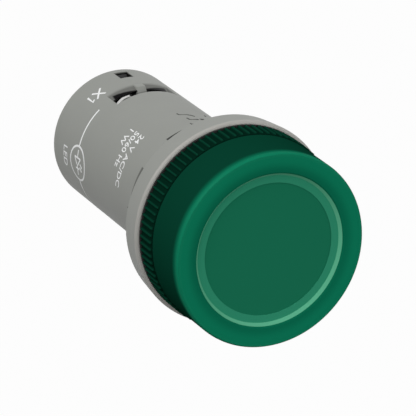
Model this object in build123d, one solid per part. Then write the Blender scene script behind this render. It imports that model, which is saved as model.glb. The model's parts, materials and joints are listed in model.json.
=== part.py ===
from build123d import *
import os
from math import cos, pi, radians, sin, sqrt, tan

os.makedirs("parts", exist_ok=True)

# Panel pilot light, in millimetres.
# The lamp's own axis is Y: the lens looks along -Y and the barrel runs back along +Y.
# The origin lies on that axis, in the face that seats on the front of the panel. +Z is up.

# Clearances
snug = 0.05        # between pieces that sit still in one another
thread_play = 0.05 # round a screw in the strip that it is threaded through
free = 0.3         # round whatever turns or slides

# Barrel and bezel, one moulding
barrel_radius = 10.8
barrel_length = 38.2
barrel_wall = 1.3
rear_edge_round = 0.4
bezel_front_radius = 15.7
bezel_rear_radius = 15.25 # the bezel tapers towards the panel
bezel_depth = 4.5
bezel_front_round = 0.45
bezel_rear_round = 0.2
spigot_radius = 12.4
spigot_length = 5.4
pocket_radius = 11.0
pocket_floor = 1.8      # from the panel seat forward to the floor that the lamp board rests on

# Gasket in the bezel's rear face
gasket_inner_radius = 12.2
gasket_width = 1.9
gasket_depth = 1.1
gasket_channel = 0.3

# Lens
lens_gap = 0.35          # between the bezel's front and the lens, filled by the seal's lip
lens_depth = 12.1        # from the lens's rear face to the edge of its front
lens_front_radius = 14.78
lens_edge_round = 0.5
lens_rim_radius = 11.75
lens_rim_sink = 0.17     # the front falls back this much from its outer edge to the rim of the dish
lens_crown = 0.08        # the front bulges this much over a straight line between the two
dish_radius = 11.2
dish_depth = 0.67
dish_step_radius = 10.05
dish_step = 0.12
lens_front_wall = 1.5

# Knurled ring round the rear of the lens
knurl_radius = 15.13
knurl_length = 3.5
knurl_ribs = 88
knurl_depth = 0.3
knurl_rib_foot = 0.52    # width of a rib at its foot
knurl_rib_top = 0.26     # width of its flat top
knurl_groove_width = 0.3 # plain groove that parts the knurl from the smooth wall
knurl_groove_depth = 0.12

# Seal under the lens
seal_inner_radius = 13.35
seal_width = 0.7
seal_thickness = 1.05
seal_play = 0.15
seal_lip_radius = 15.1   # the lip shows as a thin black line round the lens

# Wire windows, above and below
window_lead = 0.3        # the window begins this much in front of the strip's face
window_length = 4.4
window_half_width = 4.45
window_side_flare = 0.9
window_ramp_depth = 0.5
window_ramp_slope = 3.6  # run along the barrel for each unit of depth
window_undercut = 1.1
rib_width = 1.4
rib_floor_depth = 1.6
rib_slope = 1.2          # run of the rib's sloping rear for each unit of depth
rib_thickness = 0.55
rib_root = 1.0           # how far the rib runs on behind the window

# Latch windows and end cap
latch_reach = 1.9        # from the cap's inner face forward to the latch window's front
latch_window_length = 2.75
latch_window_width = 2.2
cap_seat_depth = 1.2
cap_seat_wall = 0.85
cap_flange = 1.0
cap_plug = 1.2
cap_boss_height = 0.25
driver_hole_radius = 2.5
latch_arm_thickness = 0.7
latch_nose_length = 1.3
latch_nose_sink = 0.4

# Circuit boards
board_thickness = 1.0
rail_web = 0.9           # between the board's edge and the bore
rail_height = 1.1
rail_reach = 1.8
led_ring_radius = 4.6
led_count = 4
led_length = 3.2
led_width = 2.8
led_height = 1.9
led_cup_radius = 1.1

# Reflector and diffuser
reflector_mouth_radius = 10.2
reflector_base_radius = 8.0
reflector_flange = 0.8
diffuser_rim = 1.0
diffuser_rise = 2.0
diffuser_wall = 1.0

# Terminals
block_length = 6.8
strip_thickness = 0.8
strip_half_width = 4.0
strip_leg_half_width = 1.6
strip_tail = 4.6
screw_radius = 1.7
screw_length = 8.1
screw_tip = 0.4
screw_head_radius = 2.8
screw_head_height = 2.2
screw_head_gap = 0.3     # between the open screw's head and the cap
screw_slot_width = 0.8
screw_slot_depth = 1.2
screw_slot_reach = 2.0
washer_radius = 2.9
washer_thickness = 0.9
washer_play = 0.2
washer_edge = 0.25
washer_opening = 6.0     # from the strip to the washer when the terminal is open
barrier_gap = 0.4        # between the barrier's edge and the bore

# Electronic parts. An inset is measured from the board's long edge to the part's middle,
# and a setback from the board's front end, or from the terminal block where it says so.
capacitor_radius = 3.1
capacitor_length = 11.0
capacitor_neck = 0.35
capacitor_crimp = 1.6    # from the can's base to its crimp
capacitor_round = 0.4
capacitor_inset = 4.5
capacitor_setback = 5.0
capacitor_lead_pitch = 2.0
resistor_radius = 1.2
resistor_stand = 0.2
resistor_cap = 0.48      # length of the thicker cap at each end
resistor_pitch = 3.3
resistor_aside = 1.3     # from the can to the nearer resistor
resistor_setback = 5.8
resistor_gap = 1.0       # from a resistor's rear lead to the rectifier's legs
film_capacitor_width = 4.2
film_capacitor_height = 6.0
film_capacitor_gap = 0.7 # from the film capacitor to the surge absorber
film_capacitor_round = 0.6
film_capacitor_foot = 1.8
film_capacitor_stand = 0.3
film_capacitor_setback = 5.0
bridge_size = (4.2, 4.8, 2.4)
bridge_inset = 3.3
bridge_from_block = 1.0
regulator_size = (4.4, 3.2, 1.6)
regulator_inset = 3.6
regulator_setback = 2.2
package_stand = 0.1
package_bevel = 0.25
package_leg = 0.8
package_leg_height = 0.35
absorber_thickness = 2.2
absorber_bore_gap = 1.3  # from the disc's lowest point to the bore
absorber_stand = 0.8
absorber_lead_pitch = 3.2
absorber_from_strip = 0.7
lead_width = 0.6
lead_reach = 1.2         # how far a lead stands out before it turns down to the board
link_size = (5.0, 2.0, 2.0)
link_pin_radius = 0.3
link_pin_pitch = 2.54
link_pin_stub = 0.6

# Places that follow from the sizes above
bore_radius = barrel_radius-barrel_wall
bezel_front = -bezel_depth
spigot_front = bezel_front-spigot_length
lens_rear = bezel_front-lens_gap
lens_edge = lens_rear-lens_depth
lens_rim = lens_edge+lens_rim_sink
dish_face = lens_rim+dish_depth
lens_bore_radius = spigot_radius+free
knurl_root_radius = knurl_radius-knurl_depth
lamp_board_rear = -pocket_floor
lamp_board_front = lamp_board_rear-board_thickness
cap_seat = barrel_length-cap_seat_depth
cap_inner = cap_seat-cap_plug
latch_window_front = cap_inner-latch_reach
head_face = cap_inner-screw_head_gap-screw_head_height
washer_face = head_face-washer_thickness
strip_face = washer_face-washer_opening
block_rear = strip_face-strip_thickness
terminal_front = block_rear-block_length
window_front = strip_face-window_lead
rib_bottom = barrel_radius-rib_floor_depth-rib_thickness
terminal_offset = rib_bottom-free-washer_radius
strip_plate_reach = rib_bottom-free+snug
window_rear = window_front+window_length
board_top = board_thickness/2
board_half_width = bore_radius-rail_web
capacitor_x = board_half_width-capacitor_inset
bridge_front = terminal_front-bridge_from_block-bridge_size[1]
absorber_front = terminal_front-strip_tail-absorber_from_strip-absorber_thickness
absorber_radius = (bore_radius-absorber_bore_gap-board_top-absorber_stand)/2


def turned(points):
    """A solid of revolution about the lamp's axis, from (radius, place along the axis) corners."""
    return revolve(Plane.XY * make_face(Polyline(*points, close=True)), Axis.Y)


def across(y):
    """The plane across the axis at y, with X to the right and Z up; extruding it goes forward."""
    return Plane(origin=(0, y, 0), x_dir=(1, 0, 0), z_dir=(0, -1, 0))


def prism(sketch, y_front, y_rear):
    """A sketch drawn across the axis, made solid from y_front to y_rear."""
    return extrude(across(y_rear) * sketch, y_rear-y_front)


def rod(radius, x, z, y_front, y_rear):
    """A round rod along the axis."""
    return prism(Pos(x, z) * Circle(radius), y_front, y_rear)


def block(x0, x1, y0, y1, z0, z1):
    """A box between its low and high corners."""
    return Pos((x0+x1)/2, (y0+y1)/2, (z0+z1)/2) * Box(x1-x0, y1-y0, z1-z0)


def along(points, half_width):
    """An outline of (place along the axis, height) corners, extruded to both sides of the centre."""
    return extrude(Plane.YZ * make_face(Polyline(*points, close=True)), half_width, both=True)


def circles_of(shape, radius):
    """The round edges of this radius, from the front to the rear."""
    circles = shape.edges().filter_by(GeomType.CIRCLE)
    return circles.filter_by(lambda e: abs(e.radius-radius) < 1e-6).sort_by(Axis.Y)


def both_terminals(shape):
    """The shape and its twin, turned half a turn about the axis."""
    return [shape, Rot(0, 180, 0) * shape]


def make_housing():
    body = turned([
        (bore_radius, lamp_board_rear), (bore_radius, cap_seat),
        (barrel_radius-cap_seat_wall, cap_seat), (barrel_radius-cap_seat_wall, barrel_length),
        (barrel_radius, barrel_length), (barrel_radius, 0),
        (bezel_rear_radius, 0), (bezel_front_radius, bezel_front),
        (spigot_radius, bezel_front), (spigot_radius, spigot_front),
        (pocket_radius, spigot_front), (pocket_radius, lamp_board_rear)])
    body = fillet(circles_of(body, bezel_front_radius), bezel_front_round)
    body = fillet(circles_of(body, bezel_rear_radius), bezel_rear_round)
    body = fillet(circles_of(body, barrel_radius)[-1], rear_edge_round)
    groove_outer = gasket_inner_radius+gasket_width
    body -= turned([(gasket_inner_radius, -gasket_depth), (groove_outer, -gasket_depth), (groove_outer, 1),
                    (gasket_inner_radius, 1)])
    rail = block(bore_radius-rail_reach, bore_radius+barrel_wall/2, lamp_board_rear, terminal_front,
                 -board_top-rail_height, board_top+rail_height)
    rail -= block(0, board_half_width+snug, lamp_board_rear-1, terminal_front+1,
                  -board_top-snug, board_top+snug)
    body += rail
    body += Rot(0, 180, 0) * rail
    for cut in both_terminals(make_window_cut()):
        body -= cut
    for rib in both_terminals(make_window_rib()):
        body += rib
    hole = block(-latch_window_width/2, latch_window_width/2, latch_window_front,
                 latch_window_front+latch_window_length, bore_radius-1, barrel_radius+1)
    for cut in both_terminals(hole):
        body -= cut
    return body


def make_window_cut():
    """The wire window: square at the front, with a ramp at the rear and flared sides."""
    inner = bore_radius-1
    outer = barrel_radius+1
    ramp_foot = barrel_radius-window_ramp_depth
    ramp_run = window_ramp_depth*window_ramp_slope
    band = turned([
        (inner, window_front), (outer, window_front), (outer, window_rear+window_ramp_slope),
        (barrel_radius, window_rear), (ramp_foot, window_rear-ramp_run),
        (bore_radius, window_rear-ramp_run+window_undercut), (inner, window_rear-ramp_run+window_undercut)])
    edge_height = sqrt(barrel_radius**2-window_half_width**2)
    flare_foot = edge_height-window_side_flare
    flare_top = barrel_radius+1
    flare_run = flare_top-flare_foot
    sides = Polyline(
        (-window_half_width, 0), (window_half_width, 0), (window_half_width, flare_foot),
        (window_half_width+flare_run, flare_top), (-window_half_width-flare_run, flare_top),
        (-window_half_width, flare_foot), close=True)
    return band & prism(make_face(sides), window_front-1, window_rear+2*window_ramp_slope)


def make_window_rib():
    """The rib that parts the window into two wire ways, sloping on from the ramp."""
    top = barrel_radius-rib_floor_depth
    bottom = rib_bottom
    foot = window_rear-rib_floor_depth*rib_slope
    root = bore_radius+barrel_wall/3
    front = block_rear+snug
    return along([
        (window_rear, barrel_radius-snug), (foot, top), (window_front, top), (window_front, root),
        (front, root), (front, bottom), (window_rear+rib_root, bottom),
        (window_rear+rib_root, root), (window_rear+rib_root, barrel_radius-snug)], rib_width/2)


def make_gasket():
    inner = gasket_inner_radius+snug
    outer = gasket_inner_radius+gasket_width-snug
    middle = (inner+outer)/2
    return turned([
        (inner, -gasket_depth), (outer, -gasket_depth), (outer, 0), (middle+gasket_channel, 0),
        (middle, -gasket_channel), (middle-gasket_channel, 0), (inner, 0)])


def make_lens():
    inner_face = dish_face+lens_front_wall
    knurl_front = lens_rear-knurl_length
    groove_front = knurl_front-knurl_groove_width
    groove_radius = knurl_root_radius-knurl_groove_depth
    wall_front = (lens_front_radius, lens_edge)
    rim = (lens_rim_radius, lens_rim)
    crown = ((lens_front_radius+lens_rim_radius)/2, (lens_edge+lens_rim)/2-lens_crown)
    outside = Polyline(
        wall_front, (knurl_root_radius, groove_front), (groove_radius, groove_front),
        (groove_radius, knurl_front), (knurl_root_radius, knurl_front), (knurl_root_radius, lens_rear),
        (lens_bore_radius, lens_rear), (lens_bore_radius, inner_face), (0, inner_face),
        (0, dish_face+dish_step), (dish_step_radius, dish_face+dish_step), (dish_step_radius, dish_face),
        (dish_radius, dish_face), rim)
    cup = revolve(Plane.XY * make_face([outside, ThreePointArc(rim, crown, wall_front)]), Axis.Y)
    cup = fillet(circles_of(cup, lens_front_radius), lens_edge_round)
    cup += make_knurl(knurl_front)
    inner = seal_inner_radius-seal_play
    outer = seal_inner_radius+seal_width+seal_play
    floor = bezel_front-seal_thickness
    cup -= turned([(inner, floor), (outer, floor), (outer, 0), (inner, 0)])
    return cup


def make_knurl(knurl_front):
    """A ring of straight flat-topped ribs, with plain wall between them."""
    foot_radius = knurl_root_radius-snug
    foot = knurl_rib_foot/2/knurl_root_radius
    top = knurl_rib_top/2/knurl_radius
    outline = []
    for n in range(knurl_ribs):
        middle = 2*pi*n/knurl_ribs
        rib = ((foot_radius, -foot), (knurl_radius, -top), (knurl_radius, top), (foot_radius, foot))
        for radius, turn in rib:
            outline.append((radius*cos(middle+turn), radius*sin(middle+turn)))
    ring = prism(make_face(Polyline(*outline, close=True)), knurl_front, lens_rear)
    return ring-prism(Circle(knurl_root_radius-0.5), knurl_front-1, lens_rear+1)


def make_lens_seal():
    """A ring in the lens's rear groove, with a thin lip that fills the gap to the bezel."""
    outer = seal_inner_radius+seal_width
    back = bezel_front-seal_thickness
    lip = lens_rear+snug
    return turned([
        (seal_inner_radius, back), (outer, back), (outer, lip), (seal_lip_radius, lip),
        (seal_lip_radius, bezel_front), (seal_inner_radius, bezel_front)])


def make_reflector():
    flange_rear = spigot_front
    flange_front = spigot_front-reflector_flange
    outer = pocket_radius-snug
    return turned([
        (reflector_base_radius, lamp_board_front), (outer, lamp_board_front), (outer, flange_rear),
        (spigot_radius-snug, flange_rear), (spigot_radius-snug, flange_front),
        (reflector_mouth_radius, flange_front)])


def make_diffuser():
    seat = spigot_front-reflector_flange
    outer = spigot_radius-snug
    shoulder = seat-diffuser_rim
    crown = shoulder-diffuser_rise
    inner = outer-diffuser_wall
    hollow = crown+diffuser_wall
    section = [
        Line((0, crown), (0, hollow)), TangentArc((0, hollow), (inner, shoulder), tangent=(1, 0)),
        Line((inner, shoulder), (inner, seat)), Line((inner, seat), (outer, seat)),
        Line((outer, seat), (outer, shoulder)), TangentArc((0, crown), (outer, shoulder), tangent=(1, 0))]
    return revolve(Plane.XY * make_face(section), Axis.Y)


def make_led_board():
    board = prism(Circle(pocket_radius-snug), lamp_board_front, lamp_board_rear)
    for side in (-1, 1):
        board -= rod(link_pin_radius+snug, side*link_pin_pitch/2, board_top+link_size[2]/2,
                     lamp_board_front-1, lamp_board_rear+1)
    return board


def make_led():
    front = lamp_board_front-led_height
    chip = prism(Rectangle(led_length, led_width), front, lamp_board_front)
    chip = chamfer(chip.edges().filter_by(Axis.Y).sort_by(Axis.X)[-1], led_width*0.2)
    cup = prism(Circle(led_cup_radius), front-0.01, front+led_height*0.3)
    return chip-cup


def make_main_board():
    return block(-board_half_width, board_half_width, lamp_board_rear, terminal_front, -board_top, board_top)


def make_board_link():
    wide, deep, high = link_size
    body = block(-wide/2, wide/2, lamp_board_rear, lamp_board_rear+deep, board_top, board_top+high)
    for side in (-1, 1):
        body += rod(link_pin_radius, side*link_pin_pitch/2, board_top+high/2,
                    lamp_board_front-link_pin_stub, lamp_board_rear+deep)
    return body


def make_smoothing_capacitor():
    """A round can lying on the board, crimped near its base, with its two leads down to the board."""
    y = lamp_board_rear+capacitor_setback
    height = board_top+capacitor_radius
    base = y+capacitor_length
    neck = base-capacitor_crimp
    can = Pos(capacitor_x, 0, height) * turned([
        (0, y), (capacitor_radius-capacitor_round, y), (capacitor_radius, y+capacitor_round),
        (capacitor_radius, neck-capacitor_neck), (capacitor_radius-capacitor_neck, neck),
        (capacitor_radius, neck+capacitor_neck), (capacitor_radius, base), (0, base)])
    for side in (-1, 1):
        lead_x = capacitor_x+side*capacitor_lead_pitch/2
        can += block(lead_x-lead_width/2, lead_x+lead_width/2, base, base+lead_reach, board_top, height)
    return can


def make_dropper_resistor(steps):
    """A round resistor with a thicker cap at each end and its two leads bent down to the board."""
    x = capacitor_x-capacitor_radius-resistor_aside-resistor_radius-steps*resistor_pitch
    y = lamp_board_rear+resistor_setback
    end = bridge_front-package_leg-resistor_gap-lead_reach
    waist = resistor_radius*0.9
    height = board_top+resistor_radius+resistor_stand
    body = Pos(x, 0, height) * turned([
        (0, y), (waist, y), (resistor_radius, y+resistor_cap/2), (resistor_radius, y+resistor_cap),
        (waist, y+2*resistor_cap), (waist, end-2*resistor_cap), (resistor_radius, end-resistor_cap),
        (resistor_radius, end-resistor_cap/2), (waist, end), (0, end)])
    half = lead_width/2
    for start, stop in ((y-lead_reach, y), (end, end+lead_reach)):
        body += block(x-half, x+half, start, stop, height-half, height+half)
    for middle in (y-lead_reach+half, end+lead_reach-half):
        body += block(x-half, x+half, middle-half, middle+half, board_top, height)
    return body


def make_film_capacitor():
    """A box on two feet under the board."""
    half = film_capacitor_width/2
    front = lamp_board_rear+film_capacitor_setback
    rear = absorber_front-film_capacitor_gap
    top = -board_top
    case = block(-half, half, front, rear, top-film_capacitor_height, top)
    case = fillet(case.edges().filter_by(Axis.Z), film_capacitor_round)
    return case-block(-2*half, 2*half, front+film_capacitor_foot, rear-film_capacitor_foot,
                      top-film_capacitor_stand, top+1)


def make_flat_package(size, x, y, side, legs):
    """A flat moulded package on the upper (1) or lower (-1) side of the board, with legs at both ends."""
    wide, long, high = size
    body = block(x-wide/2, x+wide/2, y, y+long, board_top+package_stand, board_top+high)
    body = chamfer(body.faces().sort_by(Axis.Z)[-1].edges(), package_bevel)
    for n in range(legs):
        leg_x = x+(n-(legs-1)/2)*wide*0.6/max(legs-1, 1)
        body += block(leg_x-lead_width/2, leg_x+lead_width/2, y-package_leg, y+long+package_leg,
                      board_top, board_top+package_leg_height)
    return body if side > 0 else Rot(0, 180, 0) * body


def make_bridge_rectifier():
    return make_flat_package(bridge_size, -board_half_width+bridge_inset, bridge_front, 1, 2)


def make_current_regulator():
    y = lamp_board_rear+regulator_setback
    return make_flat_package(regulator_size, board_half_width-regulator_inset, y, -1, 3)


def make_surge_absorber():
    """A coated disc standing on edge under the board on two leads."""
    middle = absorber_front+absorber_thickness/2
    centre = -board_top-absorber_stand-absorber_radius
    disc = rod(absorber_radius, 0, centre, absorber_front, absorber_front+absorber_thickness)
    disc = fillet(disc.edges().filter_by(GeomType.CIRCLE), absorber_thickness*0.3)
    for side in (-1, 1):
        lead_x = side*absorber_lead_pitch/2
        disc += block(lead_x-lead_width/2, lead_x+lead_width/2, middle-lead_width/2, middle+lead_width/2,
                      centre, -board_top)
    return disc


def make_terminal_block():
    """The insulating insert: a plug with holes for the screws' tips, and the barrier behind it."""
    insert = rod(bore_radius-snug, 0, 0, terminal_front, block_rear)
    pocket_rear = block_rear-strip_thickness
    side_pocket = prism(Rectangle(2*bore_radius, 2*screw_radius), terminal_front-1, pocket_rear)
    side_pocket -= prism(Rectangle(2*strip_half_width+2, 2*bore_radius), terminal_front-2, block_rear+1)
    insert -= side_pocket
    barrier_half_width = bore_radius-barrier_gap
    insert += block(-barrier_half_width, barrier_half_width, block_rear-strip_thickness, cap_inner,
                    -board_top, board_top)
    key_half = rib_width/2+snug
    keyway = block(-key_half, key_half, terminal_front-1, block_rear+1, rib_bottom-snug, bore_radius)
    hole = rod(screw_radius+free+0.1, 0, terminal_offset, terminal_front-1, block_rear+1)
    slot = block(-strip_leg_half_width-snug, strip_leg_half_width+snug, terminal_front-1, block_rear+1,
                 board_top, board_top+strip_thickness+snug)
    for cut in both_terminals(hole)+both_terminals(slot)+both_terminals(keyway):
        insert -= cut
    return insert


def make_contact_strip():
    """A strip bent at a right angle: a plate threaded for the screw, and a leg to the board."""
    plate = block(-strip_half_width, strip_half_width, block_rear, strip_face, board_top, strip_plate_reach)
    corners = plate.edges().filter_by(Axis.Y).sort_by(Axis.Z)[-2:]
    plate = chamfer(corners, strip_thickness)
    leg = block(-strip_leg_half_width, strip_leg_half_width, terminal_front-strip_tail, block_rear+snug,
                board_top, board_top+strip_thickness)
    strip = plate+leg
    return strip-rod(screw_radius+thread_play, 0, terminal_offset, terminal_front, strip_face+1)


def make_terminal_screw():
    """A pan-head screw along the axis, with a cross recess in the head."""
    tip = head_face-screw_length
    rear = head_face+screw_head_height
    dome = screw_head_height*0.3
    screw = Pos(0, 0, terminal_offset) * turned([
        (0, tip), (screw_radius-screw_tip, tip), (screw_radius, tip+screw_tip), (screw_radius, head_face),
        (screw_head_radius, head_face), (screw_head_radius, rear-dome), (screw_head_radius-dome, rear),
        (0, rear)])
    for wide, high in ((screw_slot_width, 2*screw_slot_reach), (2*screw_slot_reach, screw_slot_width)):
        screw -= prism(Pos(0, terminal_offset) * Rectangle(wide, high), rear-screw_slot_depth, rear+1)
    return screw


def make_clamp_washer():
    """The captive washer that presses the wires against the strip."""
    hole = screw_radius+washer_play
    return Pos(0, 0, terminal_offset) * turned([
        (hole, washer_face), (washer_radius-washer_edge, washer_face),
        (washer_radius, washer_face+washer_edge), (washer_radius, head_face), (hole, head_face)])


def make_end_cap():
    """The rear cover: a flange in the barrel's mouth, two latches and two screwdriver holes."""
    plug_radius = bore_radius-snug
    flange_rear = cap_seat+cap_flange
    cap = turned([
        (0, cap_inner), (plug_radius, cap_inner), (plug_radius, cap_seat),
        (barrel_radius-cap_seat_wall-snug, cap_seat), (barrel_radius-cap_seat_wall-snug, flange_rear),
        (0, flange_rear)])
    arm_outer = plug_radius-snug
    nose_rear = latch_window_front+latch_window_length-2*snug
    nose_front = nose_rear-latch_nose_length
    half = latch_window_width/2-2*snug
    arm = along([
        (cap_inner+snug, arm_outer), (cap_inner+snug, arm_outer-latch_arm_thickness),
        (latch_window_front-2*snug, arm_outer-latch_arm_thickness),
        (latch_window_front-2*snug, arm_outer-0.3), (nose_front, arm_outer),
        (nose_rear, barrel_radius-latch_nose_sink), (nose_rear, arm_outer-0.1)], half)
    for piece in both_terminals(arm):
        cap += piece
    boss = rod(driver_hole_radius+0.8, 0, terminal_offset, cap_seat, flange_rear+cap_boss_height)
    hole = rod(driver_hole_radius, 0, terminal_offset, cap_inner-1, flange_rear+1)
    for piece in both_terminals(boss):
        cap += piece
    for cut in both_terminals(hole):
        cap -= cut
    return cap


nodes = {
    "housing": make_housing(),
    "panel_gasket": make_gasket(),
    "lens": make_lens(),
    "lens_seal": make_lens_seal(),
    "reflector": make_reflector(),
    "diffuser": make_diffuser(),
    "led_board": make_led_board(),
    "main_board": make_main_board(),
    "board_link": make_board_link(),
    "smoothing_capacitor": make_smoothing_capacitor(),
    "dropper_resistor_1": make_dropper_resistor(1),
    "dropper_resistor_2": make_dropper_resistor(0),
    "bridge_rectifier": make_bridge_rectifier(),
    "film_capacitor": make_film_capacitor(),
    "current_regulator": make_current_regulator(),
    "surge_absorber": make_surge_absorber(),
    "terminal_block": make_terminal_block(),
    "end_cap": make_end_cap(),
}
for n in range(led_count):
    angle = 360*(n+0.5)/led_count
    spot = Rot(0, angle, 0) * Pos(led_ring_radius, 0, 0)
    nodes[f"led_{n+1}"] = spot * make_led()
for number, shape in enumerate(both_terminals(make_contact_strip()), 1):
    nodes[f"contact_strip_x{number}"] = shape
for number, shape in enumerate(both_terminals(make_terminal_screw()), 1):
    nodes[f"terminal_screw_x{number}"] = shape
for number, shape in enumerate(both_terminals(make_clamp_washer()), 1):
    nodes[f"clamp_washer_x{number}"] = shape

for name, shape in nodes.items():
    export_step(shape, f"parts/{name}.step")
    print(name, round(shape.volume, 2))
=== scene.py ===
import json
from math import atan2, cos, hypot, pi, radians, sin, tan

import bmesh
import bpy
from mathutils import Matrix, Vector


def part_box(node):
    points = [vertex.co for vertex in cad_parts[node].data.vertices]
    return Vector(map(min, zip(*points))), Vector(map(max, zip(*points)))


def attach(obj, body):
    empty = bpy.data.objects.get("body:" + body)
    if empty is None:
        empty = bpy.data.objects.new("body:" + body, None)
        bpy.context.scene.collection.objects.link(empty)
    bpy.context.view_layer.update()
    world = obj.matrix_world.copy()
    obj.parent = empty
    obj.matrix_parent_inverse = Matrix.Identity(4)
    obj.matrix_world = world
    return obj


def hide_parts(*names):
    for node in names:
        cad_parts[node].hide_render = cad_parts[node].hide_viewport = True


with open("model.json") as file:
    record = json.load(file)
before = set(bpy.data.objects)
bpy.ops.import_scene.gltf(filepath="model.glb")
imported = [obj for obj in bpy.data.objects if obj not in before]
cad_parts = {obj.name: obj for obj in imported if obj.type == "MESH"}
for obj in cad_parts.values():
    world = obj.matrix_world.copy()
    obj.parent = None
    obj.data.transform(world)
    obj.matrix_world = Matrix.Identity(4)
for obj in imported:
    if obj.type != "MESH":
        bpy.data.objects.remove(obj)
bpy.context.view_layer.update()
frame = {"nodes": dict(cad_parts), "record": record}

mm = 0.001


class Socket:                                   # a node's output, so that maths on it reads as maths
    def __init__(self, tree, output):
        self.tree = tree
        self.output = output

    def math(self, operation, *others):
        node = self.tree.nodes.new("ShaderNodeMath")
        node.operation = operation
        for place, value in enumerate((self,) + others):
            feed(self.tree, node.inputs[place], value)
        return Socket(self.tree, node.outputs[0])

    def __add__(self, other):
        return self.math("ADD", other)

    def __sub__(self, other):
        return self.math("SUBTRACT", other)

    def __mul__(self, other):
        return self.math("MULTIPLY", other)

    def __pow__(self, other):
        return self.math("POWER", other)

    def __gt__(self, other):
        return self.math("GREATER_THAN", other)

    def __lt__(self, other):
        return self.math("LESS_THAN", other)


def feed(tree, slot, value):                    # a link, a colour or a number into one slot
    if isinstance(value, Socket):
        tree.links.new(value.output, slot)
    elif isinstance(value, (tuple, list)) and len(value) == 3 and slot.type == "RGBA":
        slot.default_value = (*value, 1.0)
    else:
        slot.default_value = value


class Finish:                                   # one material, built on a Principled shader
    def __init__(self, name, **plain):
        self.material = bpy.data.materials.new(name)
        self.material.use_nodes = True
        self.tree = self.material.node_tree
        self.shader = next(n for n in self.tree.nodes if n.type == "BSDF_PRINCIPLED")
        for slot, value in plain.items():
            self.set(slot.replace("_", " "), value)

    def set(self, slot, value):
        feed(self.tree, self.shader.inputs[slot], value)

    def node(self, kind, settings=None, inputs=None, output=0):
        made = self.tree.nodes.new("ShaderNode" + kind)
        for name, value in (settings or {}).items():
            setattr(made, name, value)
        for slot, value in (inputs or {}).items():
            feed(self.tree, made.inputs[slot], value)
        return Socket(self.tree, made.outputs[output])

    def where(self):                            # the point on the piece
        return self.node("TexCoord", output="Object")

    def split(self, where):                     # its x, y and z
        axes = self.node("SeparateXYZ", inputs={0: where}).output.node.outputs
        return [Socket(self.tree, axis) for axis in axes]

    def noise(self, where, size, detail=2.0):   # size in metres across one blotch
        return self.node("TexNoise", inputs={"Vector": where, "Scale": 1/size, "Detail": detail})

    def step(self, value, low, high):           # 0 at low, 1 at high, even where low is the larger
        return self.node("MapRange", {"interpolation_type": "SMOOTHSTEP"},
                         {"Value": value, "From Min": low, "From Max": high})

    def within(self, value, span):              # fades in over span's first two, out over its last two
        first, full, waning, last = span
        return self.step(value, first, full)*self.step(value, last, waning)

    def mix(self, mask, first, second):         # first where the mask is 0, second where it is 1
        return self.node("Mix", {"data_type": "RGBA"}, {0: mask, 6: first, 7: second}, output=2)

    def bump(self, height, strength, distance):
        inputs = {"Strength": strength, "Distance": distance, "Height": height}
        self.set("Normal", self.node("Bump", inputs=inputs))


def srgb(red, green, blue):                     # a colour as a screen shows it, 0 to 255, made linear
    return tuple(c/255/12.92 if c <= 10.31 else ((c/255 + 0.055)/1.055)**2.4
                 for c in (red, green, blue))


def darkened(colour, share):
    return tuple(c*share for c in colour)


# The housing: a grained grey moulding; its openings are drawn dark with painted shade, as the photo shows
# them, and its bezel edge paler with a painted highlight

housingLook = {
    "colour": srgb(151, 153, 148),
    "darker": srgb(146, 148, 143),
    "recessShade": srgb(108, 109, 105),      # painted shade on the ramps of the wire windows, which little light reaches
    "deep": srgb(8, 8, 8),              # painted shade: their lower part, black behind a boundary fitted to the photo
    # painted shade in the latch hole, drawn dark
    "latchShade": srgb(44, 44, 42),
    "edge": srgb(170, 169, 164),        # painted highlight: the bezel's rounded front edge drawn paler; it is also smoother than its grained sides
    "specular": 0.25,
    "blotch": 6*mm,
    "window": (25.9*mm, 26.1*mm, 30.4*mm, 31.0*mm),         # along the axis: in, full, waning, out
    "latchHole": (33.8*mm, 33.9*mm, 36.7*mm, 36.8*mm),
    "ribHalf": 0.51,                    # half of the rib, as a share of its width, stays pale
    "recessBelow": (10.78*mm, 10.6*mm),         # radius where each shade starts and is full
    "latchBelow": (10.78*mm, 10.5*mm),
    "deepBelow": (10.35*mm, 10.25*mm),
    "deepSlope": 0.06,                  # the black boundary rises by this much towards the window's sides
    "deepAside": (4.5*mm, 4.2*mm),
    "edgeFront": (-4.0*mm, -4.15*mm),
    "edgeOutside": 15.1*mm,
    "roughness": 0.5,
    "edgeRoughness": 0.3,
    "roughnessSpread": 0.1,
    "grain": 0.12*mm,
    "grainDetail": 3.0,
    "grainStrength": 0.6,
    "grainHeight": 0.004*mm,
}


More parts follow.
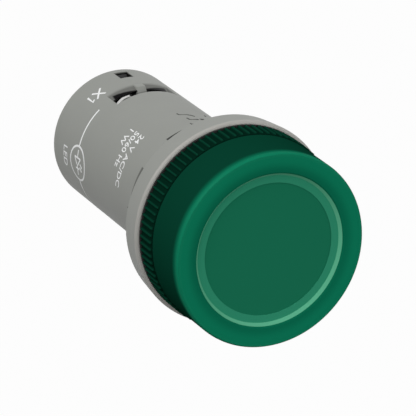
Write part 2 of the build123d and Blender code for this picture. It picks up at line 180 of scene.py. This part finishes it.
def housingPlastic():
    look = housingLook
    finish = Finish("housingPlastic", Specular_IOR_Level=look["specular"])
    where = finish.where()
    x, y, z = finish.split(where)
    radius = (x*x + z*z)**0.5
    aside = x.math("ABSOLUTE")
    upOrDown = (z > 0.0)*2.0 - 1.0              # 1 at the upper window, -1 at the lower one
    fromRib = (x*upOrDown - windowRib["offset"]).math("ABSOLUTE")
    besideRib = fromRib > windowRib["width"]*look["ribHalf"]
    window = finish.within(y, look["window"])*besideRib
    # painted shade: the ramps in the wire windows drawn darker
    recessShade = finish.step(radius, *look["recessBelow"])*window
    # painted shade: the lower part of each opening drawn black, behind a drawn boundary
    boundary = finish.step(radius - aside*look["deepSlope"], *look["deepBelow"])
    deep = boundary*finish.step(aside, *look["deepAside"])*window
    # painted shade: the latch seen in its hole drawn dark
    latchShade = finish.step(radius, *look["latchBelow"])*finish.within(y, look["latchHole"])
    # the bezel's front edge: a painted highlight in its colour, and smoother roughness
    edge = finish.step(y, *look["edgeFront"])*(radius > look["edgeOutside"])

    tint = finish.mix(finish.noise(where, look["blotch"]), look["darker"], look["colour"])
    for mask, shade in ((recessShade, "recessShade"), (deep, "deep"), (latchShade, "latchShade"), (edge, "edge")):
        tint = finish.mix(mask, tint, look[shade])
    finish.set("Base Color", tint)
    finish.set("Metallic", (deep + latchShade).math("MINIMUM", 1.0))     # takes the sheen off the painted shade in the openings and the latch hole
    grain = finish.noise(where, look["grain"], look["grainDetail"])
    level = look["roughness"] - look["roughnessSpread"]/2
    level = edge*(look["edgeRoughness"] - look["roughness"]) + level
    finish.set("Roughness", grain*look["roughnessSpread"] + level)
    finish.bump(grain, look["grainStrength"], look["grainHeight"])
    return finish.material


# The lens: green moulding, drawn opaque; its colours are painted light and shade, standing for the light
# that gathers in it

lensLook = {
    # painted shade: the ribs' roots drawn darker than their tops
    "root": srgb(5, 39, 28),
    "knurl": srgb(11, 61, 45),
    "side": srgb(9, 64, 47),
    "front": srgb(14, 120, 88),
    "inner": srgb(10, 104, 76),         # painted shade next to the dish
    "innerFade": (11.9*mm, 13.6*mm),    # radius where the painted shade turns into front
    "rings": [                          # radius below which each colour of the dish covers the one before; the first is a painted highlight on the dish wall
        (11.6*mm, srgb(92, 176, 140)),
        (11.2*mm, srgb(48, 140, 108)),
        (10.05*mm, srgb(26, 113, 83))],
    "dishWithin": 12.5*mm,
    "dishFront": (-15.5*mm, -15.9*mm),
    "frontFade": (-15.1*mm, -16.7*mm),
    "ribFade": (14.85*mm, 15.1*mm),     # radius from the root of a rib to near its top
    "knurlFront": (-8.5*mm, -8.3*mm),
    "shoulder": 0.05,                   # weak coat on the rounded edge
    "shoulderOutside": 14.2*mm,
    "shoulderFront": (-16.2*mm, -16.5*mm),
    "coatRoughness": 0.3,
    "ior": 1.49,
    "mottle": 1.5*mm,
    "roughness": 0.3,
    "roughnessSpread": 0.08,
}


def lensPlastic():
    look = lensLook
    finish = Finish("lensPlastic", IOR=look["ior"], Specular_IOR_Level=0.0,
                    Coat_Roughness=look["coatRoughness"])
    where = finish.where()
    x, y, z = finish.split(where)
    radius = (x*x + z*z)**0.5
    dish = (radius < look["dishWithin"])*finish.step(y, *look["dishFront"])
    front = dish.math("MAXIMUM", finish.step(y, *look["frontFade"]))
    # painted shade between the ribs: their roots drawn darker
    ribs = finish.mix(finish.step(radius, *look["ribFade"]), look["root"], look["knurl"])
    tint = finish.mix(finish.step(y, *look["knurlFront"]), look["side"], ribs)
    # painted light: the front drawn lighter than the side and knurl
    face = finish.mix(finish.step(radius, *look["innerFade"]), look["inner"], look["front"])
    tint = finish.mix(front, tint, face)
    # the dish colours, the first of them a painted highlight on its wall
    for reach, shade in look["rings"]:
        tint = finish.mix((radius < reach)*front, tint, shade)
    finish.set("Base Color", tint)
    shoulder = (radius > look["shoulderOutside"])*finish.step(y, *look["shoulderFront"])
    finish.set("Coat Weight", shoulder*look["shoulder"])
    level = look["roughness"] - look["roughnessSpread"]/2
    finish.set("Roughness", finish.noise(where, look["mottle"])*look["roughnessSpread"] + level)
    return finish.material


# All other slots: one plain colour each, slightly worn

plainLooks = {          # material slot: colour, roughness, metallic
    "gasket_rubber": (srgb(38, 38, 38), 0.7, 0.0),
    "seal_rubber": (srgb(6, 7, 7), 0.6, 0.0),
    "white_plastic": (srgb(232, 232, 228), 0.3, 0.0),
    "milky_plastic": (srgb(220, 226, 222), 0.35, 0.0),
    "circuit_board": (srgb(28, 92, 48), 0.4, 0.0),
    "black_plastic": (srgb(26, 26, 27), 0.5, 0.0),
    "led_package": (srgb(236, 226, 170), 0.3, 0.0),
    "capacitor_can": (srgb(52, 54, 70), 0.4, 0.0),
    "resistor_body": (srgb(120, 160, 176), 0.4, 0.0),
    "film_case": (srgb(196, 176, 70), 0.45, 0.0),
    "absorber_coating": (srgb(40, 86, 160), 0.35, 0.0),
    "insulator_plastic": (srgb(22, 23, 23), 0.6, 0.0),
    "tinned_brass": (srgb(206, 202, 188), 0.28, 1.0),
    "plated_steel": (srgb(214, 214, 212), 0.25, 1.0),
}

plainWear = {
    "size": 0.8*mm,
    "detail": 4.0,
    "darker": 0.82,
    "roughnessSpread": 0.16,
    "strength": 0.3,
    "height": 0.01*mm,
}


def plainFinish(slot):
    look = plainWear
    colour, roughness, metallic = plainLooks[slot]
    finish = Finish(slot, Metallic=metallic)
    wear = finish.noise(finish.where(), look["size"], look["detail"])
    finish.set("Base Color", finish.mix(wear, darkened(colour, look["darker"]), colour))
    finish.set("Roughness", wear*look["roughnessSpread"] + (roughness - look["roughnessSpread"]/2))
    finish.bump(wear, look["strength"], look["height"])
    return finish.material


# How pieces are modelled: one start, edits on what is picked by place, and a wrap onto the barrel

def pick(test):                                 # in edit mode, selects only the points that pass
    bpy.ops.mesh.select_mode(type="VERT")
    bpy.ops.mesh.select_all(action="DESELECT")
    mesh = bmesh.from_edit_mesh(bpy.context.object.data)
    for vertex in mesh.verts:
        vertex.select_set(test(vertex))
    mesh.select_flush_mode()
    bmesh.update_edit_mesh(bpy.context.object.data)


def startChain(name, points):                   # a chain of edges through the points, left in edit mode
    bpy.ops.object.select_all(action="DESELECT")
    bpy.ops.mesh.primitive_plane_add(size=mm)
    piece = bpy.context.object
    piece.name = name
    bpy.ops.object.mode_set(mode="EDIT")
    bpy.ops.mesh.merge(type="CENTER")
    here = Vector((0, 0, 0))
    for index, point in enumerate(points):
        there = Vector((*point, 0)[:3])
        if index == 0:
            bpy.ops.transform.translate(value=there)
        else:
            bpy.ops.mesh.extrude_vertices_move(TRANSFORM_OT_translate={"value": there - here})
        here = there
    return piece


def closeShell(merge=0.002*mm):                 # in edit mode: seams merged, faces turned outwards
    bpy.ops.mesh.select_all(action="SELECT")
    bpy.ops.mesh.remove_doubles(threshold=merge)
    bpy.ops.mesh.normals_make_consistent(inside=False)


def smooth(piece, angle=30):                    # edges sharper than this many degrees stay sharp
    bpy.ops.object.select_all(action="DESELECT")
    piece.select_set(True)
    bpy.context.view_layer.objects.active = piece
    bpy.ops.object.shade_smooth_by_angle(angle=radians(angle))


def joined(name, pieces):                       # several objects made one
    bpy.ops.object.select_all(action="DESELECT")
    for piece in pieces:
        piece.select_set(True)
    bpy.context.view_layer.objects.active = pieces[0]
    if len(pieces) > 1:
        bpy.ops.object.join()
    pieces[0].name = name
    return pieces[0]


def rounded(corners, steps=5):                  # (radius, y, rounding) corners to an outline
    points = []
    for index, (x, y, rounding) in enumerate(corners):
        here = Vector((x, y))
        if not rounding:
            points.append((x, y))
            continue
        back = (Vector(corners[index - 1][:2]) - here).normalized()
        ahead = (Vector(corners[index + 1][:2]) - here).normalized()
        half = back.angle(ahead)/2
        centre = here + (back + ahead).normalized()*rounding/sin(half)
        first = here + back*rounding/tan(half) - centre
        last = here + ahead*rounding/tan(half) - centre
        for step in range(steps + 1):
            spoke = first.lerp(last, step/steps).normalized()*rounding
            points.append(tuple(centre + spoke))
    return points


def finishPiece(piece, body, slot, finish, *replaced):
    piece.data.materials.clear()
    piece.data.materials.append(finish)
    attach(piece, body)
    if replaced:
        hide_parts(*replaced)


# The lens: a moulded cap with a knurled ring, a shallow dish in its front and a seal groove behind

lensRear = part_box("lens")[1][1]
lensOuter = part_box("lens")[1][0]

lensCap = {
    "length": 12.1*mm,          # from the rear face to the front's outer edge
    "edgeRadius": 14.78*mm,
    "edgeRound": 0.5*mm,
    "crown": 0.08*mm,           # bulge of the front between rim and edge
    "rimRadius": 11.75*mm,
    "rimSink": 0.17*mm,         # the rim of the dish lies this far behind the outer edge
    "rimRound": 0.12*mm,
    "dishRadius": 11.2*mm,
    "rimSteps": 12,
    "dishDepth": 0.67*mm,
    "dishRound": 0.08*mm,
    "discRadius": 10.05*mm,
    "discStep": 0.12*mm,
    "discRound": 0.03*mm,
    "wall": 1.5*mm,
    "bore": 12.7*mm,
    "boreRound": 0.6*mm,
    "knurlDepth": 0.3*mm,
    "knurlLength": 3.5*mm,
    "knurlTip": 0.25*mm,        # a rib rises over this length at its front
    "tipShare": 0.5,            # and starts there with this share of its height
    "ribs": 88,
    "columns": 6,               # faces across one rib and its gap
    "ribColumns": (2, 3),       # the ones that are raised
    "slack": 0.01*mm,           # for picking points by their place
    "grooveWidth": 0.3*mm,
    "grooveDepth": 0.12*mm,
    "grooveRound": 0.05*mm,
    "sealInner": 13.2*mm,
    "sealOuter": 14.2*mm,
    "sealFloor": -5.55*mm,
    "smoothing": 28,
}


def buildLens():
    look = lensCap
    root = lensOuter - look["knurlDepth"]
    knurlFront = lensRear - look["knurlLength"]
    groove = root - look["grooveDepth"]
    edge = lensRear - look["length"]
    rim = edge + look["rimSink"]
    dish = rim + look["dishDepth"]
    disc = dish + look["discStep"]
    corners = [
        (0, disc, 0), (look["discRadius"] - look["slack"], disc, 0),
        (look["discRadius"], dish, look["discRound"]), (look["dishRadius"], dish, look["dishRound"]),
        (look["rimRadius"], rim, look["rimRound"])]
    for step in range(1, look["rimSteps"]):     # from rim to edge, along a parabola
        share = step/look["rimSteps"]
        corners.append((
            look["rimRadius"] + (look["edgeRadius"] - look["rimRadius"])*share,
            rim - look["rimSink"]*share - look["crown"]*4*share*(1 - share), 0))
    corners += [
        (look["edgeRadius"], edge, look["edgeRound"]),
        (root, knurlFront - look["grooveWidth"], look["grooveRound"]),
        (groove, knurlFront - look["grooveWidth"], 0), (groove, knurlFront, 0),
        (root, knurlFront, 0), (root, knurlFront + look["knurlTip"], 0), (root, lensRear, 0),
        (look["sealOuter"], lensRear, 0), (look["sealOuter"], look["sealFloor"], 0),
        (look["sealInner"], look["sealFloor"], 0), (look["sealInner"], lensRear, 0),
        (look["bore"], lensRear, 0), (look["bore"], disc + look["wall"], look["boreRound"]),
        (0, disc + look["wall"], 0)]
    piece = startChain("lensCap", rounded(corners))
    bpy.ops.mesh.select_all(action="SELECT")
    steps = look["ribs"]*look["columns"]
    bpy.ops.mesh.spin(steps=steps, angle=2*pi, center=(0, 0, 0), axis=(0, 1, 0))
    closeShell()

    def onRib(vertex, front):                   # a rib's points that still lie at the knurl's root
        if vertex.co.y < front - look["slack"] or vertex.co.y > lensRear + look["slack"]:
            return False
        if abs(hypot(vertex.co.x, vertex.co.z) - root) > 2*look["slack"]:
            return False
        column = round(atan2(vertex.co.z, vertex.co.x)/(2*pi)*steps) % look["columns"]
        return column in look["ribColumns"]

    grow = lensOuter/root
    tipGrow = 1 + (grow - 1)*look["tipShare"]
    for front, scale in ((knurlFront + look["knurlTip"], grow), (knurlFront, tipGrow)):
        pick(lambda vertex: onRib(vertex, front))
        bpy.ops.transform.resize(value=(scale, 1, scale), center_override=(0, 0, 0))
    bpy.ops.object.mode_set(mode="OBJECT")
    smooth(piece, look["smoothing"])
    finishPiece(piece, "lens", "lens_plastic", finishes["lens_plastic"], "lens")


# Print on the barrel, placed by angles in degrees from +X towards +Z

barrelRadius = 10.8*mm

printLook = {
    "height": 0.012*mm,         # how far the ink stands proud
    "strip": 0.5*mm,            # widest flat facet across the round
    "line": 0.34*mm,
    "fineLine": 0.29*mm,
    "bolder": 0.015*mm,         # added to each side of a letter's strokes
    "curveSteps": 4,
    "tubeSteps": 2,
    "weld": 0.001*mm,
    "ink": srgb(250, 251, 251),
    "faded": 0.94,
    "patch": 0.5*mm,
    "patchDetail": 4.0,
    "specular": 0.3,
    "roughness": 0.5,
    "roughnessSpread": 0.2,
}


def whiteInk():
    look = printLook
    finish = Finish("whiteInk", Specular_IOR_Level=look["specular"])
    patch = finish.noise(finish.where(), look["patch"], look["patchDetail"])
    finish.set("Base Color", finish.mix(patch, darkened(look["ink"], look["faded"]), look["ink"]))
    finish.set("Roughness", patch*look["roughnessSpread"] + look["roughness"])
    return finish.material


def wrap(piece, angle, y):                      # local x goes round the barrel and local up goes forward
    for vertex in piece.data.vertices:
        across, up, out = vertex.co
        turn = radians(angle) + across/barrelRadius
        radius = barrelRadius + out
        vertex.co = (radius*cos(turn), y - up, radius*sin(turn))


def words(text, size, angle, y):
    bpy.ops.object.select_all(action="DESELECT")
    bpy.ops.object.text_add()
    piece = bpy.context.object
    piece.data.body = text
    piece.data.size = size
    piece.data.offset = printLook["bolder"]
    piece.data.extrude = printLook["height"]
    piece.data.resolution_u = printLook["curveSteps"]
    bpy.ops.object.convert(target="MESH")
    piece = bpy.context.object
    bpy.ops.object.mode_set(mode="EDIT")
    closeShell(printLook["weld"])
    for cut in range(1, int(piece.dimensions.x/printLook["strip"]) + 1):
        bpy.ops.mesh.select_all(action="SELECT")
        bpy.ops.mesh.bisect(plane_co=(cut*printLook["strip"], 0, 0), plane_no=(1, 0, 0))
    bpy.ops.object.mode_set(mode="OBJECT")
    wrap(piece, angle, y)
    return piece


def divided(points):                            # long parts in short steps, to follow the barrel
    path = [points[0]]
    for first, last in zip(points, points[1:]):
        count = int(abs(last[0] - first[0])/printLook["strip"]) + 1
        path += [tuple(a + (b - a)*step/count for a, b in zip(first, last))
                 for step in range(1, count + 1)]
    return path


def line(points, width, angle, y, height=None, closed=False):
    path = divided(points)                      # a third number in a point scales the width there
    piece = startChain("line", [point[:2] for point in path])
    if closed:
        bpy.ops.mesh.select_all(action="SELECT")
        bpy.ops.mesh.remove_doubles(threshold=printLook["weld"])
    bpy.ops.object.mode_set(mode="OBJECT")
    bpy.ops.object.convert(target="CURVE")
    piece = bpy.context.object
    for knot in piece.data.splines[0].points:
        nearest = min(path, key=lambda point: hypot(point[0] - knot.co.x, point[1] - knot.co.y))
        knot.radius = (*nearest, 1.0)[2]        # 1 where the point has no third number
    piece.data.bevel_depth = width/2
    piece.data.bevel_resolution = printLook["tubeSteps"]
    piece.data.use_fill_caps = True
    bpy.ops.object.convert(target="MESH")
    piece = bpy.context.object
    for vertex in piece.data.vertices:
        vertex.co.z *= (height or printLook["height"])*2/width
    wrap(piece, angle, y)
    return piece


marks = {                               # places along the axis and shapes of strokes are in mm
    "nameY": 33.7,                      # the baseline of both terminals' names
    "name1": 115.6,                     # angle where the name starts
    "name2": 295.6,
    "letterX": [[(0, 0), (1.65, 2.35)], [(1.6, 0), (0.1, 2.35)]],
    "digit1": [[(2.5, 0.05), (2.5, 2.2), (2.05, 1.8)]],
    "digit2": [[(3.1, 0), (2.1, 0), (2.95, 1.2), (3.05, 1.6), (2.95, 2.0), (2.6, 2.25), (2.3, 2.15),
                (2.1, 1.85)]],
    "lampSize": 2.0*mm,
    "lamp": ("LED", 171.6, 33.95),      # words, angle where they start, baseline
    "ratingSize": 1.7*mm,
    "rating": [("24 V AC/DC", 126.0, 14.1), ("50/60 Hz", 126.0, 15.8), ("1 W", 126.0, 17.5)],
    "symbolAngle": 179.6,
    "symbolY": 28.5,
    "symbolRadius": 2.7,
    "symbolSides": 64,
    "symbol": [
        [(-2.15, 0), (-1.0, 0)], [(-0.9, -1.1), (-0.9, 1.05)], [(-0.9, -1.1), (0.4, 0), (-0.9, 1.05)],
        [(0.4, 0), (0.82, 0)], [(0.82, -0.62), (0.82, 0.65)], [(0.9, 0), (1.9, 0)],
        [(-0.15, 0.95), (0.35, 1.6)], [(0.38, 1.3), (0.35, 1.6), (0.08, 1.5)],
        [(0.45, 0.8), (0.95, 1.45)], [(0.98, 1.15), (0.95, 1.45), (0.68, 1.35)]],
    "wireTo": (130.7, 228.5),           # angles where the drawn wire starts and ends
}


def buildPrint():
    look = marks
    wide = printLook["line"]
    finish = whiteInk()

    def strokes(shapes, width, angle, y):
        return [line([(a*mm, b*mm) for a, b in shape], width, angle, y*mm) for shape in shapes]

    for name, start, digit in (("markX1", look["name1"], "digit1"), ("markX2", look["name2"], "digit2")):
        drawn = strokes(look["letterX"] + look[digit], wide, start, look["nameY"])
        finishPiece(joined(name, drawn), "housing", "housing_plastic", finish)
    text, angle, y = look["lamp"]
    finishPiece(joined("markLamp", [words(text, look["lampSize"], angle, y*mm)]),
                "housing", "housing_plastic", finish)
    rows = [words(text, look["ratingSize"], angle, y*mm) for text, angle, y in look["rating"]]
    finishPiece(joined("markRating", rows), "housing", "housing_plastic", finish)

    ring = look["symbolRadius"]*mm
    middle = look["symbolY"]*mm
    turns = [2*pi*n/look["symbolSides"] for n in range(look["symbolSides"] + 1)]
    around = [(ring*cos(turn), ring*sin(turn)) for turn in turns]
    drawn = [line(around, wide, look["symbolAngle"], middle, closed=True)]
    for side, end in zip((-1, 1), look["wireTo"]):
        reach = abs(radians(end - look["symbolAngle"]))*barrelRadius - ring
        count = int(reach/printLook["strip"])
        wire = [(side*(ring + reach*n/count), 0) for n in range(count + 1)]
        drawn.append(line(wire, wide, look["symbolAngle"], middle))
    drawn += strokes(look["symbol"], printLook["fineLine"], look["symbolAngle"], look["symbolY"])
    finishPiece(joined("lampSymbol", drawn), "housing", "housing_plastic", finish)


# Thread on the neck, in four sectors with plain strips between them

neckThread = {
    "pitch": 1.2*mm,            # a guess; coarser ridges would hide one of the dark marks
    "turns": 5,
    "first": 1.3*mm,            # middle of the first ridge, measured from the panel seat
    "sunk": 0.06*mm,
    "height": 0.24*mm,
    "foot": 0.8*mm,
    "crest": 0.25*mm,
    "sectors": 4,
    "width": 62.0,              # degrees that a sector covers
    "start": 56.0,              # angle where the first sector starts
    "steps": 26,
    "runOut": 4.0,              # degrees over which a ridge fades at the ends of a sector
}


def buildThread():
    look = neckThread
    bpy.ops.object.select_all(action="DESELECT")
    bpy.ops.mesh.primitive_plane_add(size=1.0)
    piece = bpy.context.object
    piece.name = "neckThread"
    bpy.ops.object.mode_set(mode="EDIT")
    low = barrelRadius - look["sunk"]
    deep = look["sunk"] + look["height"]
    bpy.ops.transform.resize(value=(deep, look["foot"], 1))
    bpy.ops.transform.translate(value=(low + deep/2, look["first"], 0))
    pick(lambda vertex: vertex.co.x > barrelRadius)
    narrow = look["crest"]/look["foot"]
    bpy.ops.transform.resize(value=(1, narrow, 1), center_override=(0, look["first"], 0))
    bpy.ops.mesh.select_all(action="SELECT")
    bpy.ops.transform.rotate(value=radians(look["start"]), orient_axis="Y", center_override=(0, 0, 0))
    bpy.ops.mesh.spin(steps=look["steps"], angle=radians(look["width"]), center=(0, 0, 0), axis=(0, 1, 0))
    closeShell()
    bpy.ops.object.mode_set(mode="OBJECT")
    angles = [atan2(v.co.z, v.co.x) for v in piece.data.vertices]
    middle = (min(angles) + max(angles))/2
    reach = (max(angles) - min(angles))/2
    for vertex, angle in zip(piece.data.vertices, angles):
        share = min(1.0, (reach - abs(angle - middle))/radians(look["runOut"]))
        radius = hypot(vertex.co.x, vertex.co.z)
        if radius > barrelRadius:               # a faded crest ends just under the surface
            proud = radius - barrelRadius + look["sunk"]*0.5
            radius = barrelRadius - look["sunk"]*0.5 + proud*share
        rise = look["pitch"]*(angle - middle)/(2*pi)
        vertex.co = (radius*cos(angle), vertex.co.y + rise, radius*sin(angle))
    bpy.ops.object.mode_set(mode="EDIT")
    for turn in range(1, look["turns"]):
        place = look["first"] + look["pitch"]*(turn - 1)
        pick(lambda vertex: abs(vertex.co.y - place) < look["pitch"]/2)
        bpy.ops.mesh.duplicate_move(TRANSFORM_OT_translate={"value": (0, look["pitch"], 0)})
    bpy.ops.mesh.select_all(action="SELECT")
    bpy.ops.mesh.spin(steps=look["sectors"] - 1, dupli=True, angle=2*pi*(1 - 1/look["sectors"]),
                      center=(0, 0, 0), axis=(0, 1, 0))
    bpy.ops.object.mode_set(mode="OBJECT")
    smooth(piece)
    finishPiece(piece, "housing", "housing_plastic", finishes["housing_plastic"])


# Painted shade on the neck: dark flat strokes for the shade in grooves, behind ridges and at the bezel's
# edge, drawn where the photo shows them

neckMarks = {
    "shades": {                 # piece: its strokes, darkest and lightest colour
        "neckMarks": ("strokes", srgb(52, 53, 50), srgb(72, 73, 70)),
        "neckShades": ("dimStrokes", srgb(98, 99, 95), srgb(112, 113, 109))},
    "specular": 0.2,
    "roughness": 0.7,
    "blotch": 0.4*mm,
    "width": 0.38*mm,
    "height": 0.035*mm,
    "strokes": [                # angle, place along the axis in mm, share of the full width
        [(91.1, 15.0, 0.7), (90.4, 14.4, 0.7), (87.6, 14.2, 0.5), (84.6, 14.05, 0.7), (81.9, 13.65, 0.9),
         (79.8, 13.15, 0.8)],
        [(88.2, 12.6, 0.6), (87.6, 11.85, 0.8), (85.1, 11.66, 0.6), (82.0, 11.65, 0.8), (81.0, 11.65, 1.3),
         (80.3, 11.65, 0.8)],
        [(78.3, 11.7, 1.6), (76.5, 11.8, 1.3), (73.8, 12.0, 0.4)],
        [(68.0, 14.1, 1.0), (66.8, 14.5, 1.0)],
        [(91.0, 10.2, 0.5), (90.8, 9.6, 1.0), (89.2, 9.7, 0.6)],
        [(117.3, 8.05, 1.5), (114.5, 8.08, 1.4), (111.5, 8.14, 1.2), (106.5, 8.3, 0.9), (100.1, 8.55, 0.5),
         (93.6, 9.05, 0.3)],
        [(183.4, 9.25, 1.0), (182.6, 9.35, 0.8)]],
    "dimStrokes": [
        [(146.6, 7.55, 2.4), (150.2, 7.6, 2.2), (153.8, 7.7, 1.8), (158.0, 7.8, 1.5), (162.2, 7.9, 1.2),
         (169.0, 8.15, 0.9), (176.2, 8.4, 0.6)]],
}


def buildNeckShadeMarks():
    look = neckMarks
    for name, (key, dark, light) in look["shades"].items():
        # painted shade, in dark and lighter grey
        finish = Finish(name, Roughness=look["roughness"], Specular_IOR_Level=look["specular"])
        blotches = finish.noise(finish.where(), look["blotch"])
        finish.set("Base Color", finish.mix(blotches, dark, light))
        drawn = []
        for stroke in look[key]:
            start, first = stroke[0][:2]
            points = [(radians(angle - start)*barrelRadius, (first - y)*mm, width)
                      for angle, y, width in stroke]
            drawn.append(line(points, look["width"], start, first*mm, look["height"]))
        finishPiece(joined(name, drawn), "housing", "housing_plastic", finish.material)


# The outer part of the rib that divides each wire window, on top of the solid's lower one

windowRib = {
    "profile": [                # place along the axis and radius, in mm
        (30.45, 8.75), (30.45, 10.77), (29.0, 10.77), (28.45, 10.1), (28.2, 8.75)],
    "width": 1.5*mm,
    "offset": 0.15*mm,
    "edge": 0.08*mm,
    "edgeSteps": 2,
}


def buildRibs():
    look = windowRib
    for name, side in (("windowRib1", 1), ("windowRib2", -1)):
        start = side*(look["offset"] - look["width"]/2)
        profile = [(start, y*mm, side*radius*mm) for y, radius in look["profile"]]
        piece = startChain(name, profile + profile[:1])
        closeShell()
        bpy.ops.mesh.edge_face_add()
        bpy.ops.mesh.extrude_region_move(TRANSFORM_OT_translate={"value": (side*look["width"], 0, 0)})
        closeShell()
        bpy.ops.mesh.bevel(offset=look["edge"], segments=look["edgeSteps"], affect="EDGES")
        closeShell()
        bpy.ops.object.mode_set(mode="OBJECT")
        smooth(piece)
        finishPiece(piece, "housing", "housing_plastic", finishes["housing_plastic"])


# A painted glint: a glowing ring on the rim of each clamp washer, seen in the wire window

washerGlint = {
    "radius": 2.98*mm,
    "tube": 0.15*mm,
    "y": 32.35*mm,
    "z": 5.45*mm,
    "segments": (72, 12),       # round the rim, round its tube
    "smoothing": 40,
    "colour": srgb(246, 246, 244),
    "glow": 0.6,                # emission, a painted glint, so that the rim shows white in the dark window
    "worn": 0.94,
    "wear": 0.4*mm,
    "specular": 0.8,
    "roughness": 0.15,
    "roughnessSpread": 0.1,
}


def buildWasherGlints():
    look = washerGlint
    # the ring glows as a painted glint
    finish = Finish("paintedGlintRim", Specular_IOR_Level=look["specular"], Emission_Color=look["colour"],
                    Emission_Strength=look["glow"])
    wear = finish.noise(finish.where(), look["wear"])
    finish.set("Base Color", finish.mix(wear, darkened(look["colour"], look["worn"]), look["colour"]))
    finish.set("Roughness", wear*look["roughnessSpread"] + look["roughness"])
    around, section = look["segments"]
    for name, body, side in (("washerGlint1", "washer_x1", 1), ("washerGlint2", "washer_x2", -1)):
        bpy.ops.object.select_all(action="DESELECT")
        bpy.ops.mesh.primitive_torus_add(major_radius=look["radius"], minor_radius=look["tube"],
                                         major_segments=around, minor_segments=section)
        piece = bpy.context.object
        piece.name = name
        bpy.ops.object.mode_set(mode="EDIT")
        bpy.ops.transform.rotate(value=pi/2, orient_axis="X", center_override=(0, 0, 0))
        bpy.ops.transform.translate(value=(0, look["y"], side*look["z"]))
        bpy.ops.object.mode_set(mode="OBJECT")
        smooth(piece, look["smoothing"])
        finishPiece(piece, body, "plated_steel", finish.material)


print("materials")
slots = {part["node"]: part["material_slot"] for part in frame["record"]["subparts"]}
finishes = {"housing_plastic": housingPlastic(), "lens_plastic": lensPlastic()}
for slot in plainLooks:
    finishes[slot] = plainFinish(slot)
for name, node in frame["nodes"].items():
    for materialSlot in node.material_slots:
        materialSlot.material = finishes[slots[name]]

print("pieces")
buildLens()
buildRibs()
buildWasherGlints()
buildPrint()
buildThread()
buildNeckShadeMarks()


# Stage, lamps and camera

stageLook = {
    "floorHeight": -0.08,
    "floorSize": 6.0,
    "floorColour": srgb(70, 70, 70),
    "glow": 0.98,               # how far the floor shows as plain white to the camera
    "ambient": 0.53,            # the world's strength for the light it sheds; it shows as plain white
    "roughness": 0.9,
    "specular": 0.1,
}

lamps = {               # from: direction in which the lamp stands; distance and size in metres
    "key": {"from": (-0.62, -0.3, 0.72), "away": 0.6, "size": 0.45, "watts": 1.75},
    "front": {"from": (0.0, -1.0, -0.05), "away": 0.6, "size": 0.3, "watts": 1.55},
    "right": {"from": (0.86, -0.09, 0.45), "away": 0.6, "size": 0.1, "watts": 0.12},
}

view = {                # fitted to the photo, but for the focal length, which was then given
    "turn": -24.999,
    "rise": 20.708,
    "away": 0.485,
    "right": -0.001847,
    "up": 0.00075,
    "lens": 285.5,
    "sensor": 36,
}


def seenDirectly(tree):                         # 1 for rays of the camera, mirrors and clear pieces
    rays = tree.nodes.new("ShaderNodeLightPath").outputs
    kinds = ("Is Camera Ray", "Is Glossy Ray", "Is Transmission Ray")
    camera, glossy, through = (Socket(tree, rays[kind]) for kind in kinds)
    return (camera + glossy + through).math("MINIMUM", 1.0)


def buildStage():
    look = stageLook
    bpy.ops.mesh.primitive_plane_add(size=look["floorSize"], location=(0, 0, 0))
    floor = bpy.context.object
    floor.name = "floor"
    bpy.ops.transform.translate(value=(0, 0, look["floorHeight"]))
    bpy.ops.object.transform_apply(location=True)
    finish = Finish("floorPaper", Roughness=look["roughness"], Specular_IOR_Level=look["specular"])
    finish.set("Base Color", look["floorColour"])
    glow = finish.node("Emission", inputs={"Color": (1.0, 1.0, 1.0), "Strength": 1.0})
    mixer = finish.node("MixShader", inputs={0: seenDirectly(finish.tree)*look["glow"], 2: glow})
    finish.tree.links.new(finish.shader.outputs[0], mixer.output.node.inputs[1])
    finish.tree.links.new(mixer.output, finish.tree.nodes["Material Output"].inputs["Surface"])
    floor.data.materials.append(finish.material)

    world = bpy.data.worlds.new("studio")
    bpy.context.scene.world = world
    world.use_nodes = True
    tree = world.node_tree
    background = tree.nodes["Background"].inputs
    strength = seenDirectly(tree)*(1 - look["ambient"]) + look["ambient"]
    feed(tree, background["Color"], (1.0, 1.0, 1.0))
    feed(tree, background["Strength"], strength)


def buildLamps():
    for name, lamp in lamps.items():
        direction = Vector(lamp["from"]).normalized()
        data = bpy.data.lights.new(name, "AREA")
        data.shape = "SQUARE"
        data.size = lamp["size"]
        data.energy = lamp["watts"]
        light = bpy.data.objects.new(name, data)
        light.location = direction*lamp["away"]
        light.rotation_euler = direction.to_track_quat("Z", "Y").to_euler()
        bpy.context.collection.objects.link(light)


def buildCamera():
    turn = radians(view["turn"])
    rise = radians(view["rise"])
    back = Vector((sin(turn)*cos(rise), -cos(turn)*cos(rise), sin(rise)))
    right = Vector((cos(turn), sin(turn), 0))
    up = back.cross(right)
    place = back*view["away"] + right*view["right"] + up*view["up"]
    data = bpy.data.cameras.new("camera")
    data.lens = view["lens"]
    data.sensor_width = view["sensor"]
    camera = bpy.data.objects.new("camera", data)
    facing = Matrix((right, up, back)).transposed().to_4x4()
    camera.matrix_world = Matrix.Translation(place) @ facing
    bpy.context.collection.objects.link(camera)
    bpy.context.scene.camera = camera


print("stage")
bpy.ops.object.select_all(action="DESELECT")
buildStage()
buildLamps()
buildCamera()
bpy.context.scene.view_settings.view_transform = "Standard"
